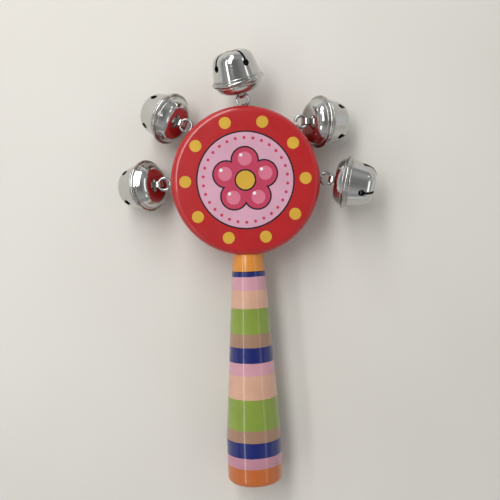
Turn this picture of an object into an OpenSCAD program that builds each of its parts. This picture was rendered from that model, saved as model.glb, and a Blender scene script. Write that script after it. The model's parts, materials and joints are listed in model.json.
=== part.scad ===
// Wooden stick rattle: a lacquered disc on a striped, turned handle, with crimped
// jingle bells linked to screw eyes round the upper half of the disc's rim.
// The origin is the centre of the handle's butt face. The handle runs along +Y
// to the disc, and the decorated face of the disc looks along +Z.

/* [Head disc] */
// Diameter of the wooden disc
head_d = 58; // [52:1:66]
// Thickness of the disc
head_t = 15; // [13:0.5:18]
// Rounding of the disc's two edges
head_edge_r = 2.6; // [1:0.1:3.5]

/* [Handle] */
// Length of the handle below the disc
handle_len = 90.3; // [70:0.1:120]
// Diameter of the neck at the disc
neck_d = 12.2; // [11:0.1:13]
// Diameter of the straight grip
grip_d = 21.8; // [18:0.1:26]
// Length of the straight grip
grip_len = 18; // [10:0.5:26]
// Rounding of the butt's edge
butt_edge_r = 2; // [0.5:0.1:3]
// Depth that the neck sinks into the disc's rim
neck_seat = 1.4; // [1:0.1:3]
// Diameter of the glued tenon
tenon_d = 8; // [6:0.5:9]
// Length of the tenon beyond the neck
tenon_len = 14; // [8:0.5:18]

/* [Screw eyes] */
// Diameter of the eye's wire
wire_d = 1.25; // [1.15:0.05:1.3]
// Clear opening of the eye
eye_bore_d = 3.4; // [3:0.1:4.5]
// Gap between the disc's rim and the eye
eye_stand = 0.15; // [0.1:0.05:0.6]
// Diameter of the threaded shank
shank_d = 1.1; // [0.8:0.05:1.1]
// Length of the shank in the wood
shank_len = 7; // [5:0.5:10]
// Length of the shank's point
shank_tip = 1.6; // [1:0.1:2.5]
// Slit between the eye's free end and its stem, in degrees
eye_slit = 16; // [8:1:30]

/* [Bells] */
// Diameter over the crimped seam
bell_d = 20.7; // [19:0.1:23]
// Thickness of the stamped sheet
shell_t = 0.35; // [0.3:0.05:0.45]
// Depth of the slotted cup, which points away from the disc
slotted_depth = 11.3; // [10:0.1:12.5]
// Depth of the cup with the loop, which faces the disc
loop_depth = 4.6; // [4.4:0.1:5.5]
// Shoulder radius of the slotted cup
slotted_shoulder_r = 4.4; // [3.5:0.1:5]
// Shoulder radius of the loop cup
loop_shoulder_r = 4.2; // [3.4:0.1:4.3]
// Taper of the slotted cup's side, in degrees
slotted_taper = 12; // [8:1:14]
// Taper of the loop cup's side, in degrees
loop_taper = 30; // [22:1:34]
// Height of the crimped seam bead
bead_h = 1.6; // [1.4:0.05:1.9]
// Width of the flange that the bead grips
flange_w = 0.3; // [0.25:0.05:0.4]
// Radius of the rolled ridge beside the bead
ridge_r = 0.3; // [0.25:0.05:0.4]
// Width of the sound slots
slot_w = 1; // [0.8:0.1:1.4]
// Diameter of the hole at each slot's end
slot_hole_d = 2.6; // [2:0.1:3]
// Height of the end holes above the seam
slot_hole_z = 6.6; // [5.5:0.1:7.2]
// Diameter of the loose steel ball
pellet_d = 6; // [5:0.1:6.5]
// Height of the ball's track above the seam
pellet_z = 2.6; // [2:0.1:3]

/* [Bell loops] */
// Width of the loop's strip
strap_w = 2.1; // [1.6:0.1:2.4]
// Thickness of the loop's strip
strap_t = 0.45; // [0.35:0.05:0.5]
// Room between the eye's wire and the strip
link_slack = 0.65; // [0.5:0.05:0.7]
// Room between the eye's wire and the cup's pole
pole_slack = 0.25; // [0.2:0.05:0.6]

/* [Hidden] */
// Sides of the rim that carry a bell, and how each bell lies in its eye
SIDES = ["right", "upper_right", "top", "upper_left", "left"];
bell_leans = [-12, -44, 13, 18, 3];
bell_droops = [-8, 28, -19, 30, 34];
slot_turns = [27, 50, 32, 35, 45];
bell_arc = 180;

$fn = 96;

// Clearance of a glued or screwed fit, of the crimped seam and of the loose ball
wood_fit = 0.05;
seam_fit = 0.05;
pellet_fit = 0.2;
// Room for glue beyond the tenon's end
glue_room = 1;
// Share of the shank's diameter that is left at its point
tip_share = 0.25;
// Every cut runs past the face it opens by this much
overrun = 1;
// Steps along a cup's rounded shoulder
arc_steps = 8;

// Painted bands of the handle, from the disc down, as shares of its length
band_shares = [
  0.076, 0.022, 0.060, 0.078, 0.104, 0.059, 0.068,
  0.062, 0.090, 0.131, 0.055, 0.058, 0.055, 0.082
];
band_colors = [
  "#e2932f", "#232a7c", "#e0a4b4", "#e9b08f", "#8fae4a", "#b98f76", "#232a7c",
  "#e0a4b4", "#e9b08f", "#8fae4a", "#b98f76", "#232a7c", "#e0a4b4", "#d9732e"
];
wood_color = "#d8b384";
red_lacquer = "#c8302c";
nickel = "#c9cbcc";
steel = "#a9abad";

head_r = head_d / 2;
head_y = handle_len + head_r;
neck_top = handle_len + neck_seat;
tenon_top = neck_top + tenon_len;
grip_r = grip_d / 2;
neck_r = neck_d / 2;
tenon_r = tenon_d / 2;

wire_r = wire_d / 2;
eye_r = eye_bore_d / 2 + wire_r;
eye_reach = head_r + eye_stand + wire_r + eye_r;
shank_depth = shank_len + shank_tip;

bell_r = bell_d / 2;
bead_r = bead_h / 2;
flange_r = bell_r - shell_t;
mouth_r = flange_r - flange_w;
strap_in_r = wire_r + link_slack;
strap_out_r = strap_in_r + strap_t;
pivot_gap = wire_r + pole_slack;
pivot_to_seam = pivot_gap + loop_depth;

// Slanted side and rounded shoulder of a cup: [depth, shoulder radius, taper]
slotted_form = [slotted_depth, slotted_shoulder_r, slotted_taper];
loop_form = [loop_depth, loop_shoulder_r, loop_taper];

function form_depth(form) = form[0];
function form_round(form) = form[1];
function form_taper(form) = form[2];

// Height and distance from the axis of the centre that the shoulder turns about
function shoulder_z(form) = form_depth(form) - form_round(form);
function shoulder_x(form) =
  mouth_r - form_round(form) * cos(form_taper(form))
  - (shoulder_z(form) + form_round(form) * sin(form_taper(form)) - shell_t) * tan(form_taper(form));

// Radius of the cup's side at a height, for a skin that lies some depth inside the outer one
function side_r(form, z, inset) =
  mouth_r - (z - shell_t) * tan(form_taper(form)) - inset / cos(form_taper(form));

function bell_angle(i) = i * bell_arc / (len(SIDES) - 1);

// The ball runs round the slotted cup's side, just clear of it
pellet_r = pellet_d / 2;
pellet_x = side_r(slotted_form, pellet_z, shell_t) - (pellet_r + pellet_fit) / cos(slotted_taper);

// Sector of a disc between two angles less than a half turn apart
module sector(r, from_deg, to_deg) {
  mid_deg = (from_deg + to_deg) / 2;
  reach = r * 2;
  intersection() {
    circle(r);
    polygon([
      [0, 0],
      [reach * cos(from_deg), reach * sin(from_deg)],
      [reach * cos(mid_deg), reach * sin(mid_deg)],
      [reach * cos(to_deg), reach * sin(to_deg)]
    ]);
  }
}

// Half of the disc's section, with both edges rounded
module head_section() {
  flat_r = head_r - head_edge_r;
  half_t = head_t / 2;
  half_flat = half_t - head_edge_r;
  translate([0, -half_t]) square([flat_r, head_t]);
  translate([0, -half_flat]) square([head_r, half_flat * 2]);
  translate([flat_r, half_flat]) sector(head_edge_r, 0, 90);
  translate([flat_r, -half_flat]) sector(head_edge_r, -90, 0);
}

// Half of the handle's section, butt down, with its tenon on top
module handle_section() {
  butt_flat_r = grip_r - butt_edge_r;
  translate([butt_flat_r, butt_edge_r]) sector(butt_edge_r, -90, 0);
  square([butt_flat_r, butt_edge_r]);
  polygon([
    [0, butt_edge_r],
    [grip_r, butt_edge_r],
    [grip_r, grip_len],
    [neck_r, handle_len],
    [neck_r, neck_top],
    [tenon_r, neck_top],
    [tenon_r, tenon_top],
    [0, tenon_top]
  ]);
}

// Share of the handle's length that the first few bands cover
function bands_share(count) = count == 0 ? 0 : bands_share(count - 1) + band_shares[count - 1];

// Slice of the handle between two heights
module handle_slice(low, high) {
  rotate([-90, 0, 0])
    rotate_extrude()
      intersection() {
        handle_section();
        translate([0, low]) square([grip_d, high - low]);
      }
}

// Points along an arc about a centre
function arc_points(center, r, from_deg, to_deg) = [
  for (k = [0 : arc_steps])
    let (a = from_deg + (to_deg - from_deg) * k / arc_steps)
      center + r * [cos(a), sin(a)]
];

// Region inside a cup's skin, which lies some depth inside the outer one
module cup_region(form, inset, base) {
  center = [shoulder_x(form), shoulder_z(form)];
  polygon(concat(
    [[0, base], [side_r(form, base, inset), base]],
    arc_points(center, form_round(form) - inset, form_taper(form), 90),
    [[0, form_depth(form) - inset]]
  ));
}

// Outside of a cup, with a rolled ridge beside the seam
module cup_outside(form) {
  ridge_z = bead_r + ridge_r * 2;
  cup_region(form, 0, 0);
  translate([side_r(form, ridge_z, ridge_r / 2), ridge_z]) circle(ridge_r);
}

// Room inside a cup, open past the seam
module cup_inside(form) {
  cup_region(form, shell_t, -overrun);
}

module head_disc() {
  color(red_lacquer)
    translate([0, head_y, 0])
      difference() {
        rotate_extrude() head_section();
        for (i = [0 : len(SIDES) - 1])
          rotate([0, 0, bell_angle(i)])
            translate([head_r - shank_depth, 0, 0])
              rotate([0, 90, 0])
                cylinder(d = shank_d + wood_fit * 2, h = shank_depth + overrun);
        translate([0, -head_r - overrun, 0])
          rotate([-90, 0, 0])
            cylinder(d = neck_d + wood_fit * 2, h = neck_seat + wood_fit + overrun);
        translate([0, -head_r, 0])
          rotate([-90, 0, 0])
            cylinder(d = tenon_d + wood_fit * 2, h = neck_seat + tenon_len + glue_room);
      }
}

module handle() {
  for (i = [0 : len(band_shares) - 1])
    color(band_colors[i])
      handle_slice(handle_len * (1 - bands_share(i + 1)), handle_len * (1 - bands_share(i)));
  color(wood_color) handle_slice(handle_len, tenon_top);
}

// Places a piece made at an eye's centre, with +X pointing away from the disc
module at_eye(i) {
  translate([0, head_y, 0])
    rotate([0, 0, bell_angle(i)])
      translate([eye_reach, 0, 0])
        children();
}

// Places a piece made round the bell's axis, with the seam at zero and +Z to the slotted end
module at_bell(i) {
  at_eye(i)
    rotate([0, 0, bell_leans[i]])
      translate([eye_r, 0, 0])
        rotate([0, 90 + bell_droops[i], 0])
          translate([0, 0, pivot_to_seam])
            children();
}

// Wire bent into an eye, whose free end stops short of the pointed shank
module screw_eye(i) {
  stem_lap = asin(wire_r / eye_r);
  rim_x = eye_reach - head_r;
  color(steel)
    at_eye(i)
      union() {
        rotate_extrude(angle = 360 - eye_slit - stem_lap, start = 180 - stem_lap)
          translate([eye_r, 0]) circle(wire_r);
        rotate([0, -90, 0]) {
          translate([0, 0, eye_r]) cylinder(d = shank_d, h = rim_x - eye_r + shank_len);
          translate([0, 0, rim_x + shank_len])
            cylinder(d1 = shank_d, d2 = shank_d * tip_share, h = shank_tip);
        }
      }
}

// Outer half of a bell: flanged cup with crossed sound slots that end in round holes
module slotted_cup(i) {
  color(nickel)
    at_bell(i)
      difference() {
        rotate_extrude()
          difference() {
            union() {
              cup_outside(slotted_form);
              square([flange_r, shell_t]);
            }
            cup_inside(slotted_form);
          }
        for (turn = [slot_turns[i], slot_turns[i] + 90])
          rotate([0, 0, turn]) {
            translate([-bell_r, -slot_w / 2, slot_hole_z]) cube([bell_d, slot_w, slotted_depth]);
            translate([-bell_r, 0, slot_hole_z])
              rotate([0, 90, 0])
                cylinder(d = slot_hole_d, h = bell_d);
          }
      }
}

// Section of the loop cup, seam up: its rim is crimped over the other cup's flange
module loop_cup_section() {
  difference() {
    union() {
      mirror([0, 1]) cup_outside(loop_form);
      translate([bell_r - bead_r, 0]) circle(bead_r);
    }
    mirror([0, 1]) cup_inside(loop_form);
    translate([0, -seam_fit]) square([mouth_r + seam_fit, bead_h]);
    translate([0, -seam_fit]) square([flange_r + seam_fit, shell_t + seam_fit * 2]);
  }
}

// Outline of the strip's loop or of the room inside it, open towards the cup
module strap_outline(r, leg) {
  sector(r, 180, 270);
  sector(r, 270, 360);
  translate([-r, 0]) square([r * 2, leg]);
}

// Strip pushed out of the cup's pole, bent round the hinge line of the eye's wire
module strap() {
  leg = pivot_gap + shell_t / 2;
  translate([0, strap_w / 2, -pivot_to_seam])
    rotate([90, 0, 0])
      linear_extrude(strap_w)
        difference() {
          strap_outline(strap_out_r, leg);
          strap_outline(strap_in_r, leg + overrun);
        }
}

// Inner half of a bell: cup with the crimped bead and the loop that hangs in the eye
module loop_cup(i) {
  color(nickel)
    at_bell(i)
      union() {
        difference() {
          rotate_extrude() loop_cup_section();
          translate([-strap_in_r, -strap_w / 2, -loop_depth - overrun])
            cube([strap_in_r * 2, strap_w, shell_t + overrun * 2]);
        }
        strap();
      }
}

// Loose steel ball, at the lowest point of its track
module pellet(i) {
  color(steel) at_bell(i) translate([pellet_x, 0, pellet_z]) sphere(pellet_r);
}

head_disc();
handle();
for (i = [0 : len(SIDES) - 1]) {
  screw_eye(i);
  slotted_cup(i);
  loop_cup(i);
  pellet(i);
}
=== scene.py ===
"""Looks of a wooden stick rattle with jingle bells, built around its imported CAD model."""

import json
import math

import bmesh
import bpy
from mathutils import Matrix, Vector


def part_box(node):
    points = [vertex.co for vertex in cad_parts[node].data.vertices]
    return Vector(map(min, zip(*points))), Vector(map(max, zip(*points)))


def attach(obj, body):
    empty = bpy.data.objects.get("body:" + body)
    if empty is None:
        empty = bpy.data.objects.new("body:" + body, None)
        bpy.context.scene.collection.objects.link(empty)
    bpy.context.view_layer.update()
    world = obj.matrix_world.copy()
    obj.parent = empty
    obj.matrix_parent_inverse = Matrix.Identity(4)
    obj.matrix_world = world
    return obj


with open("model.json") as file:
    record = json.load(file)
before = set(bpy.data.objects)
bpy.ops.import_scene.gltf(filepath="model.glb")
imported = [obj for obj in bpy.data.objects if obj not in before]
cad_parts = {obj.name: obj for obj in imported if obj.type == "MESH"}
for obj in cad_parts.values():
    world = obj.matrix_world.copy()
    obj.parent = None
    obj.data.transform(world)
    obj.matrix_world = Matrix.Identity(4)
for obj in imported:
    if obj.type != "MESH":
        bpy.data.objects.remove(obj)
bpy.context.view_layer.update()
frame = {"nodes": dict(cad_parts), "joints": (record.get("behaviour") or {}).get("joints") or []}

MM = 0.001
BODY = "rattle_body"
SIDES = ("right", "upper_right", "top", "upper_left", "left")
nodes = frame["nodes"]
joints = {joint["name"]: joint for joint in frame["joints"]}
head_low, head_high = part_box("head_disc")
head_center = (head_low + head_high) / 2

# Length of the handle up to the round disc's rim, which is one width from the disc's far end
handle_length = head_high.y - (head_high.x - head_low.x)

# Height of the balls' track above the bells' seams
BALL_TRACK = 2.6 * MM

# Camera, as in the photograph: almost straight above, with the stick turned a little
CAMERA_HEIGHT = 274 * MM
CAMERA_FOOT = Vector((1.2, 102.4, 0)) * MM
CAMERA_TARGET = Vector((0.86, 92.1, 0)) * MM
CAMERA_ROLL = math.radians(1.9)
FRAME_WIDTH = 198.5 * MM
SENSOR_WIDTH = 36
CLIP_START = 10 * MM

# Lamps that face the head: name, place, width and length, in metres, and watts
LAMPS = (
    ("key", (-0.16, 0.42, 0.42), (0.14, 0.7), 2.1),
    ("left_tube", (-0.34, 0.12, 0.4), (0.05, 0.8), 0.6),
    ("right_tube", (0.42, 0.12, 0.36), (0.07, 0.8), 0.22),
)

# Greys of the room from its horizon, at 0, to straight overhead, at 1, and the scale of its patches
ROOM_GREYS = (
    (0.0, 0.74), (0.18, 0.66), (0.36, 0.3), (0.6, 0.46), (0.84, 0.36), (0.95, 0.23), (1.0, 0.2),
)
ROOM_SCALE = 2.4

# Floor: its width, its two tones, the passes in which it settles, and where it turns plain pale
FLOOR_WIDTH = 6
FLOOR_DARK, FLOOR_LIGHT = "#dcd8d0", "#e2dfd8"
FLOOR_PASSES = 3
FLOOR_NEAR, FLOOR_FAR = 0.25, 0.9
FLOOR_PALE = 0.4

# Paints
RED, ROSE, PETAL, BLUSH = "#b41d21", "#c03d5c", "#d5748c", "#d5a2b6"
YELLOW, BLACK, WHITE = "#d6a93a", "#15151a", "#f1eeea"
ORANGE, NAVY, PINK, PEACH = "#d98d36", "#111f6a", "#cf99a5", "#d5a68d"
# The last pink and the butt's orange are darker copies of the pink and the orange: painted shade where the
# light falls off towards the butt
GREEN, TAN, SHADED_ORANGE, SHADED_PINK, NAVY_EDGE = "#84993c", "#a07c65", "#c4692e", "#bf8796", "#090c2c"

# Metals, each as its colour and roughness, and the colour and added roughness of dull places
NICKEL = ("#c9c9c6", 0.09)
EYE_STEEL = ("#c4c5c6", 0.16)
BALL_STEEL = ("#a9abad", 0.2)
DULL_COLOR, DULL_ROUGHNESS = "#8f8c86", 0.16

# Painted bands of the handle from the disc down, as shares of its length; the last pink and orange are
# darker copies, painted shade towards the butt
BANDS = (
    (0.068, ORANGE), (0.006, NAVY_EDGE), (0.018, NAVY), (0.057, PINK), (0.081, PEACH),
    (0.106, GREEN), (0.060, TAN), (0.066, NAVY), (0.056, PINK), (0.101, PEACH),
    (0.133, GREEN), (0.051, TAN), (0.065, NAVY), (0.049, SHADED_PINK), (0.083, SHADED_ORANGE),
)

# Scales of the noises, as patches or rings to the metre, and the ends that hold most of a noise
TONE_SCALE, GLOSS_SCALE, PEEL_SCALE = 110, 160, 700
WAVER_SCALE, CLOUD_SCALE = 260, 240
GRAIN_SCALE = (60, 900, 900)
TURNED_SCALE, END_SCALE, SPUN_SCALE = 2200, 1400, 5000
FLOOR_SCALE = 8
NOISE_ENDS = (0.3, 0.7)

# Depths of the surfaces' relief, the waver of the bands, and the reach of the crease at a seam
LACQUER_RELIEF, PLATE_RELIEF = 0.05 * MM, 0.02 * MM
WAVER = 0.15 * MM
CREASE_NEAR, CREASE_FAR = 0.6 * MM, 2.4 * MM

# Print on the disc's face, in thin layers of ink
INK_STEP = 0.02 * MM
INK_SUNK = 0.05 * MM
LINE_W = 0.6 * MM
MEDALLION_R = 18.4 * MM
PETALS = 5
PETAL_R = 4.9 * MM
PETAL_REACH = 7.6 * MM
HEART_R = 3.6 * MM
BLOT_R = 2.7 * MM
GLINT_R = 0.65 * MM
GLINT_SHIFT = Vector((-1.5, 1.5)) * MM
PIP_R = 0.6 * MM
PIP_RING_R = 16.3 * MM
PIPS = 30
DOT_R = 2.3 * MM
DOT_RING_R = 23.2 * MM
DOTS = 10
MEDALLION_STEPS, FLOWER_STEPS, HEART_STEPS, SPOT_STEPS = 160, 240, 60, 32
MIDDLE = Vector((0, 0))
UP = math.pi / 2


def linear(hex_color):
    """Linear RGBA of an sRGB colour written as #rrggbb."""
    parts = [int(hex_color[i:i + 2], 16) / 255 for i in (1, 3, 5)]
    return tuple(c / 12.92 if c < 0.04045 else ((c + 0.055) / 1.055) ** 2.4 for c in parts) + (1,)


def grey(level):
    """RGBA of a linear grey."""
    return (level, level, level, 1)


class Shader:
    """The node tree of a material or a world, with short ways to add and join nodes."""

    def __init__(self, owner, main, coordinates):
        owner.use_nodes = True
        self.owner = owner
        self.tree = owner.node_tree
        self.main = self.tree.nodes[main]
        self.coords = self.add("ShaderNodeTexCoord").outputs[coordinates]

    def add(self, kind, settings=None, **inputs):
        """A new node with its settings and inputs."""
        node = self.tree.nodes.new(kind)
        for key, value in (settings or {}).items():
            setattr(node, key, value)
        self.fill(node, **inputs)
        return node

    def fill(self, node, **inputs):
        """Sets a node's inputs by their names, with _ for a space."""
        for key, value in inputs.items():
            self.put(node.inputs[key.replace("_", " ")], value)

    def put(self, socket, value):
        """Links a socket to another one, or gives it a value."""
        if isinstance(value, bpy.types.NodeSocket):
            self.tree.links.new(value, socket)
        else:
            socket.default_value = value

    def part(self, letter, vector=None):
        """One coordinate of a vector."""
        return self.add("ShaderNodeSeparateXYZ", Vector=vector or self.coords).outputs[letter]

    def length(self, vector):
        """How long a vector is."""
        return self.add("ShaderNodeVectorMath", {"operation": "LENGTH"}, Vector=vector).outputs["Value"]

    def stretched(self, scale):
        """The coordinates times a scale for each axis."""
        return self.add("ShaderNodeMapping", Vector=self.coords, Scale=scale).outputs["Vector"]

    def noise(self, scale, detail=3.0, vector=None):
        """Soft patches all over."""
        node = self.add("ShaderNodeTexNoise", Vector=vector or self.coords, Scale=scale, Detail=detail)
        return node.outputs["Fac"]

    def rings(self, place, scale):
        """Uneven rings round an axis, as a tool leaves them in turned or spun work."""
        node = self.add("ShaderNodeTexNoise", {"noise_dimensions": "1D"}, W=place, Scale=scale, Detail=3.0)
        return node.outputs["Fac"]

    def span(self, value, low, high, to_low=0.0, to_high=1.0):
        """A value moved from one range to another."""
        node = self.add(
            "ShaderNodeMapRange",
            Value=value, From_Min=low, From_Max=high, To_Min=to_low, To_Max=to_high,
        )
        return node.outputs["Result"]

    def drift(self, scale, low, high, detail=4, ends=NOISE_ENDS):
        """A value that drifts between two others in soft patches."""
        return self.span(self.noise(scale, detail), *ends, low, high)

    def math(self, operation, a, b=0.0):
        """One sum, product or the like."""
        node = self.add("ShaderNodeMath", {"operation": operation})
        self.put(node.inputs[0], a)
        self.put(node.inputs[1], b)
        return node.outputs[0]

    def mix(self, factor, a, b, blend="MIX"):
        """Two colours in one."""
        node = self.add("ShaderNodeMix", {"data_type": "RGBA", "blend_type": blend}, Factor=factor)
        self.put(node.inputs["A"], a)
        self.put(node.inputs["B"], b)
        return node.outputs["Result"]

    def ramp(self, place, stops, interpolation="LINEAR"):
        """The colour of a place along a row of stops."""
        node = self.add("ShaderNodeValToRGB", Fac=place)
        node.color_ramp.interpolation = interpolation
        elements = node.color_ramp.elements
        for i, (position, color) in enumerate(stops):
            element = elements[i] if i < len(elements) else elements.new(position)
            element.position = position
            element.color = color
        return node.outputs["Color"]

    def bump(self, height, strength, distance):
        """A surface that looks raised by a height."""
        node = self.add("ShaderNodeBump", Height=height, Strength=strength, Distance=distance)
        return node.outputs["Normal"]


def new_finish(name):
    """Shader of a new material, in the coordinates of its piece."""
    return Shader(bpy.data.materials.new(name), "Principled BSDF", "Object")


def finish_lacquer(shader, color, relief):
    """Gives a shader the gloss of lacquer over a colour, on wood with some relief."""
    tone = shader.drift(TONE_SCALE, low=0.92, high=1.04)
    peel = shader.drift(PEEL_SCALE, low=0, high=0.4, detail=2, ends=(0, 1))
    skin = shader.math("ADD", relief, peel)
    shader.fill(
        shader.main,
        Base_Color=shader.mix(1.0, color, tone, "MULTIPLY"),
        Roughness=shader.drift(GLOSS_SCALE, low=0.26, high=0.4),
        Normal=shader.bump(skin, strength=0.25, distance=LACQUER_RELIEF),
        Specular_IOR_Level=0.25,
        Coat_Weight=0.7,
        Coat_Roughness=0.07,
    )
    return shader.owner


def lacquer(name, hex_color):
    """Glossy paint of one colour on the disc, whose grain shows through it a little."""
    shader = new_finish(name)
    grain = shader.noise(scale=1.0, vector=shader.stretched(GRAIN_SCALE))
    return finish_lacquer(shader, linear(hex_color), grain)


def striped_paint(name):
    """Bands of paint round the handle, the last two darkened as painted shade towards the butt, with the
    waver of the brush and the turner's marks.
    """
    shader = new_finish(name)
    place = shader.part("Y")
    waver = shader.drift(WAVER_SCALE, low=-WAVER, high=WAVER, detail=2, ends=(0, 1))
    share = shader.span(shader.math("ADD", place, waver), low=handle_length, high=0)
    starts = [sum(width for width, _ in BANDS[:i]) for i in range(len(BANDS))]
    paints = [(start, linear(color)) for start, (_, color) in zip(starts, BANDS)]
    coats = [(start, grey(i % 2)) for i, start in enumerate(starts)]
    from_axis = shader.length(shader.stretched((1, 0, 1)))
    turned = shader.math("ADD", shader.rings(place, TURNED_SCALE), shader.rings(from_axis, END_SCALE))
    relief = shader.math("ADD", turned, shader.ramp(share, coats, "CONSTANT"))
    return finish_lacquer(shader, shader.ramp(share, paints, "CONSTANT"), relief)


def plated(name, metal, place=(0, 0, 0), turn=(0, 0, 0)):
    """Bright metal with marks round an axis, duller near the plane across it: a bell's seam."""
    shader = new_finish(name)
    hex_color, roughness = metal
    spun = shader.add(
        "ShaderNodeMapping", {"vector_type": "TEXTURE"},
        Vector=shader.coords, Location=place, Rotation=turn,
    )
    height = shader.part("Z", spun.outputs["Vector"])
    cloud = shader.drift(CLOUD_SCALE, low=0, high=1, ends=(0.35, 0.7))
    crease = shader.span(shader.math("ABSOLUTE", height), CREASE_NEAR, CREASE_FAR, to_low=1.0, to_high=0.0)
    dull = shader.math("MULTIPLY", crease, cloud)
    marks = shader.math("ADD", shader.rings(height, SPUN_SCALE), cloud)
    shader.fill(
        shader.main,
        Base_Color=shader.mix(dull, linear(hex_color), linear(DULL_COLOR)),
        Metallic=1.0,
        Roughness=shader.span(dull, 0, 1, roughness, roughness + DULL_ROUGHNESS),
        Normal=shader.bump(marks, strength=0.06, distance=PLATE_RELIEF),
    )
    return shader.owner


def bell_plate(side):
    """Nickel plate that is spun round the axis of one bell, measured from its seam."""
    joint = joints[f"ball_roll_{side}"]
    axis = Vector(joint["axis"])
    seam = Vector(joint["pos_m"]) - axis * BALL_TRACK
    return plated(f"bell_nickel_{side}", NICKEL, seam, axis.to_track_quat("Z", "Y").to_euler())


def dress(name, material):
    """Gives a CAD node its finish."""
    slots = nodes[name].data.materials
    slots.clear()
    slots.append(material)


def dress_rattle():
    """Gives every CAD node its finish."""
    dress("head_disc", lacquer("red_lacquer", RED))
    dress("handle", striped_paint("handle_paint"))
    eye_steel = plated("eye_steel", EYE_STEEL)
    ball_steel = plated("ball_steel", BALL_STEEL)
    for side in SIDES:
        nickel = bell_plate(side)
        dress(f"screw_eye_{side}", eye_steel)
        dress(f"slotted_cup_{side}", nickel)
        dress(f"loop_cup_{side}", nickel)
        dress(f"pellet_{side}", ball_steel)


def polar(radius, angle):
    """Point at a distance and angle from the middle."""
    return Vector((math.cos(angle), math.sin(angle))) * radius


def circle(radius, steps, center=MIDDLE):
    """Outline of a circle."""
    return [center + polar(radius, math.tau * k / steps) for k in range(steps)]


def spots(radius, ring_r, count, start=UP, shift=MIDDLE):
    """Outlines of equal spots in a ring round the middle of the disc, all shifted alike."""
    turns = [start + math.tau * k / count for k in range(count)]
    return [circle(radius, SPOT_STEPS, polar(ring_r, turn) + shift) for turn in turns]


def flower(petal_r):
    """Outline of round petals that meet: the furthest point of any petal in each direction."""
    points = []
    spread = math.tau / PETALS
    for k in range(FLOWER_STEPS):
        angle = math.tau * k / FLOWER_STEPS
        off = (angle + spread / 2) % spread - spread / 2
        across = PETAL_REACH * math.sin(off)
        reach = PETAL_REACH * math.cos(off) + math.sqrt(petal_r ** 2 - across ** 2)
        points.append(polar(reach, UP + angle))
    return points


def ink(name, outlines, layer, hex_color):
    """Thin printed patches of one colour on the disc's face, above the layers below them."""
    shape = bmesh.new()
    for outline in outlines:
        rims = []
        for z in (head_high.z - INK_SUNK, head_high.z + INK_STEP * layer):
            rims.append([shape.verts.new((head_center.x + p.x, head_center.y + p.y, z)) for p in outline])
            shape.faces.new(rims[-1])
        for k in range(len(outline)):
            shape.faces.new((rims[0][k - 1], rims[0][k], rims[1][k], rims[1][k - 1]))
    bmesh.ops.recalc_face_normals(shape, faces=shape.faces)
    mesh = bpy.data.meshes.new(name)
    shape.to_mesh(mesh)
    shape.free()
    mesh.materials.append(lacquer(name, hex_color))
    piece = bpy.data.objects.new(name, mesh)
    bpy.context.scene.collection.objects.link(piece)
    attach(piece, BODY)


def print_disc():
    """A flower in a pink medallion, with a ring of dots round it."""
    blot_ring_r = PETAL_REACH + LINE_W
    ink("print_ring", [circle(MEDALLION_R + LINE_W, MEDALLION_STEPS)], 1, BLACK)
    ink("print_field", [circle(MEDALLION_R, MEDALLION_STEPS)], 2, BLUSH)
    ink("print_pips", spots(PIP_R, PIP_RING_R, PIPS), 3, ROSE)
    ink("print_flower_line", [flower(PETAL_R + LINE_W)], 3, BLACK)
    ink("print_flower", [flower(PETAL_R)], 4, ROSE)
    ink("print_petals", spots(BLOT_R, blot_ring_r, PETALS), 5, PETAL)
    ink("print_glints", spots(GLINT_R, blot_ring_r, PETALS, shift=GLINT_SHIFT), 6, WHITE)
    ink("print_heart_line", [circle(HEART_R + LINE_W, HEART_STEPS)], 6, BLACK)
    ink("print_heart", [circle(HEART_R, HEART_STEPS)], 7, YELLOW)
    ink("print_dots", spots(DOT_R, DOT_RING_R, DOTS, start=0), 2, YELLOW)


def floor_under(objects):
    """Height at Y zero and slope of the floor that the butt and the lowest bell touch."""
    grip = [v.co for v in nodes["handle"].data.vertices if v.co.y < head_low.y]
    head = [v.co for o in objects for v in o.data.vertices if v.co.y > head_low.y]
    slope = 0
    for _ in range(FLOOR_PASSES):
        butt = min(grip, key=lambda p: p.z - slope * p.y)
        slope = min((p.z - butt.z) / (p.y - butt.y) for p in head)
    return butt.z - slope * butt.y, slope


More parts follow.
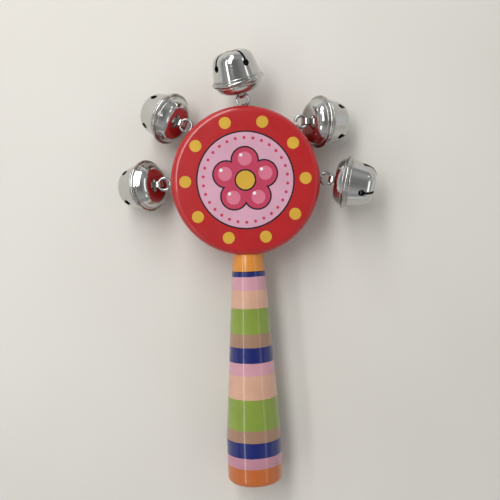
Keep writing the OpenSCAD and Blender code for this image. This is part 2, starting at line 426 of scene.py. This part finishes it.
def make_floor():
    """Plain pale floor that the rattle lies on, and that stays pale beyond the lamps' reach."""
    height, slope = floor_under(nodes.values())
    bpy.ops.mesh.primitive_plane_add(size=FLOOR_WIDTH)
    floor = bpy.context.object
    floor.name = "floor"
    floor.rotation_euler = (math.atan(slope), 0, 0)
    floor.location = (0, 0, height)
    shader = new_finish("floor")
    tint = shader.drift(FLOOR_SCALE, low=0, high=1, detail=3)
    pale = shader.span(shader.length(shader.coords), FLOOR_NEAR, FLOOR_FAR, to_low=0, to_high=FLOOR_PALE)
    ray = shader.add("ShaderNodeLightPath").outputs
    mirrored = shader.math("ADD", ray["Is Glossy Ray"], ray["Is Transmission Ray"])
    seen = shader.math("ADD", ray["Is Camera Ray"], mirrored)
    shader.fill(
        shader.main,
        Base_Color=shader.mix(tint, linear(FLOOR_DARK), linear(FLOOR_LIGHT)),
        Roughness=0.75,
        Emission_Color=linear(FLOOR_LIGHT),
        Emission_Strength=shader.math("MULTIPLY", pale, seen),
    )
    floor.data.materials.append(shader.owner)


def make_world():
    """Soft grey room: darker overhead, where the camera is, and pale along its walls."""
    shader = Shader(bpy.data.worlds.new("studio"), "Background", "Generated")
    bpy.context.scene.world = shader.owner
    dome = shader.ramp(shader.part("Z"), [(height, grey(level)) for height, level in ROOM_GREYS])
    patches = shader.drift(ROOM_SCALE, low=0.88, high=1.08, detail=2, ends=(0.35, 0.65))
    shader.fill(shader.main, Color=shader.mix(1.0, dome, patches, "MULTIPLY"), Strength=1.0)


def aimed(place, target, roll=0.0):
    """Place and turn of a lamp or camera that looks at a point, with its top towards the head."""
    top = Vector((math.sin(roll), math.cos(roll), 0))
    back = (place - target).normalized()
    right = top.cross(back).normalized()
    turn = Matrix((right, back.cross(right), back)).transposed()
    return Matrix.Translation(place) @ turn.to_4x4()


def make_lamp(name, place, size, watts):
    """Soft lamp that faces the head, as wide and as long as its size says."""
    data = bpy.data.lights.new(name, "AREA")
    data.shape = "RECTANGLE"
    data.size, data.size_y = size
    data.energy = watts
    lamp = bpy.data.objects.new(name, data)
    lamp.matrix_world = aimed(Vector(place), head_center)
    lamp.visible_camera = False
    bpy.context.scene.collection.objects.link(lamp)


def make_camera():
    """Camera at the photograph's viewing angle, for a square picture."""
    data = bpy.data.cameras.new("camera")
    camera = bpy.data.objects.new("camera", data)
    camera.matrix_world = aimed(CAMERA_FOOT + Vector((0, 0, CAMERA_HEIGHT)), CAMERA_TARGET, CAMERA_ROLL)
    data.sensor_width = SENSOR_WIDTH
    data.lens = SENSOR_WIDTH * CAMERA_HEIGHT / FRAME_WIDTH
    data.clip_start = CLIP_START
    bpy.context.scene.collection.objects.link(camera)
    bpy.context.scene.camera = camera


dress_rattle()
print_disc()
make_floor()
make_world()
for lamp_settings in LAMPS:
    make_lamp(*lamp_settings)
make_camera()
bpy.context.scene.view_settings.view_transform = "Standard"
